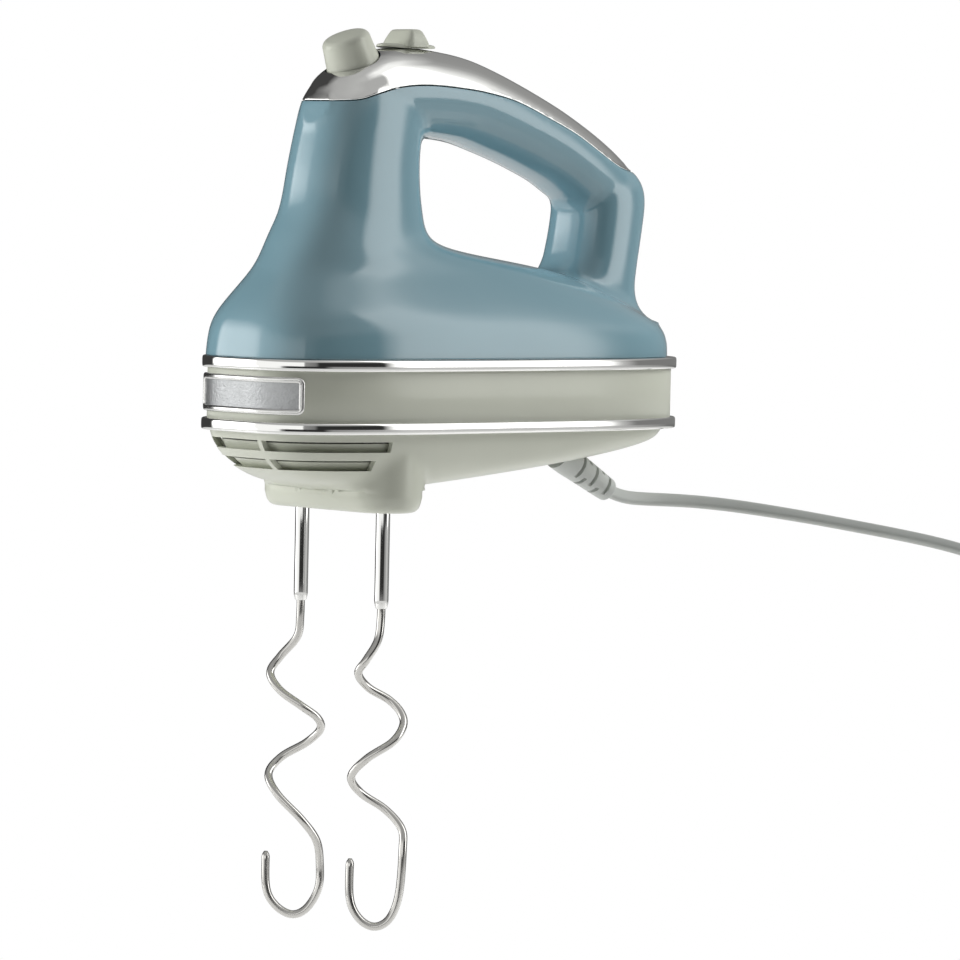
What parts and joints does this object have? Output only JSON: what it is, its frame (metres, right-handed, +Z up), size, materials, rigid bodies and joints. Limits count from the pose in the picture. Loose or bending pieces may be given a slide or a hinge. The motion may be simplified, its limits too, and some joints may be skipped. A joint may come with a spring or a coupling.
{
  "type": "hand mixer",
  "caption": "Retro hand mixer: blue shell with arched grip, chrome trim, cream belt and vented underside, eject button, speed slider, dough hooks and coiled lead.",
  "frame": {"origin": "middle of the grip, where a hand holds it", "axes": "+Z up, dough hooks point to -Z, nose to -X, lead leaves at +X, +Y to the left seen from behind"},
  "size_m": [0.3324, 0.2027, 0.3278],
  "materials": {
    "blue_shell": "glossy ice-blue paint on moulded plastic",
    "cream_plastic": "smooth satin cream plastic",
    "chrome_trim": "bright plated",
    "hook_wire": "polished wire",
    "badge_field": "fine matt grain",
    "grey_lead": "soft light-grey PVC",
    "black_tie": "matt",
    "bronze": "sintered",
    "copper_wire": "enamelled copper",
    "white_nylon": "moulded nylon",
    "black_plastic": "moulded",
    "green_board": "lacquered board",
    "inner_steel": "pressed steel and laminations"
  },
  "bodies": {
    "housing": {"upper_shell": "blue_shell", "handle_trim": "chrome_trim", "upper_band": "chrome_trim", "belt": "cream_plastic", "lower_band": "chrome_trim", "lower_housing": "cream_plastic", "badge_frame": "chrome_trim", "badge_plate": "badge_field", "eject_spring": "inner_steel", "eject_guide": "white_nylon", "switch_body": "black_plastic", "gearbox_frame": "inner_steel", "left_bushing": "bronze", "right_bushing": "bronze", "nose_bearing": "bronze", "front_bearing": "bronze", "rear_bearing": "bronze", "rear_bracket": "inner_steel", "field_core": "inner_steel", "field_coils": "copper_wire", "brush_holders": "bronze", "carbon_brushes": "black_plastic", "brush_springs": "inner_steel", "control_board": "green_board", "terminal_block": "white_nylon", "cord_clamp": "black_plastic", "housing_screws": "inner_steel", "strain_relief": "grey_lead", "cord": "grey_lead", "cord_coil": "grey_lead", "coil_tie": "black_tie", "plug_body": "grey_lead", "plug_pins": "chrome_trim"},
    "rotor": {"motor_shaft": "inner_steel", "worm": "bronze", "cooling_fan": "white_nylon", "rotor_core": "inner_steel", "rotor_windings": "copper_wire", "commutator": "copper_wire"},
    "left_drive": {"left_spindle": "inner_steel", "left_worm_wheel": "white_nylon"},
    "right_drive": {"right_spindle": "inner_steel", "right_worm_wheel": "white_nylon"},
    "left_beater": {"left_sleeve": "chrome_trim", "left_hook": "hook_wire"},
    "right_beater": {"right_sleeve": "chrome_trim", "right_hook": "hook_wire"},
    "button": {"eject_button": "cream_plastic"},
    "ejector": {"eject_rod": "inner_steel", "eject_crosshead": "black_plastic"},
    "slider": {"speed_slider": "cream_plastic"}
  },
  "joints": [
    {"name": "rotor_spin", "type": "hinge", "parent": "housing", "child": "rotor", "pos_m": [-0.015, 0, -0.099], "axis": [1, 0, 0], "continuous": true},
    {"name": "left_drive_spin", "type": "hinge", "parent": "housing", "child": "left_drive", "pos_m": [-0.0622, 0.0223, -0.099], "axis": [0, 0, 1], "continuous": true},
    {"name": "right_drive_spin", "type": "hinge", "parent": "housing", "child": "right_drive", "pos_m": [-0.0622, -0.0223, -0.099], "axis": [0, 0, 1], "continuous": true},
    {"name": "eject_press", "type": "slide", "parent": "housing", "child": "button", "axis": [0.4067, 0, -0.9135], "range_m": [0, 0.007], "stiffness_N_per_m": 500, "springref_m": -0.004},
    {"name": "ejector_slide", "type": "slide", "parent": "housing", "child": "ejector", "axis": [0, 0, -1], "range_m": [0, 0.0077]},
    {"name": "left_hook_slide", "type": "slide", "parent": "left_drive", "child": "left_beater", "axis": [0, 0, -1], "range_m": [0, 0.0077]},
    {"name": "right_hook_slide", "type": "slide", "parent": "right_drive", "child": "right_beater", "axis": [0, 0, -1], "range_m": [0, 0.0077]},
    {"name": "speed_slide", "type": "slide", "parent": "housing", "child": "slider", "axis": [1, 0, 0], "range_m": [0, 0.012]}
  ],
  "couplings": [
    {"joint": "left_drive_spin", "follows": "rotor_spin", "ratio": 0.071429},
    {"joint": "right_drive_spin", "follows": "rotor_spin", "ratio": -0.071429},
    {"joint": "ejector_slide", "follows": "eject_press", "ratio": 1.0946},
    {"joint": "left_hook_slide", "follows": "eject_press", "ratio": 1.0946},
    {"joint": "right_hook_slide", "follows": "eject_press", "ratio": 1.0946}
  ]
}
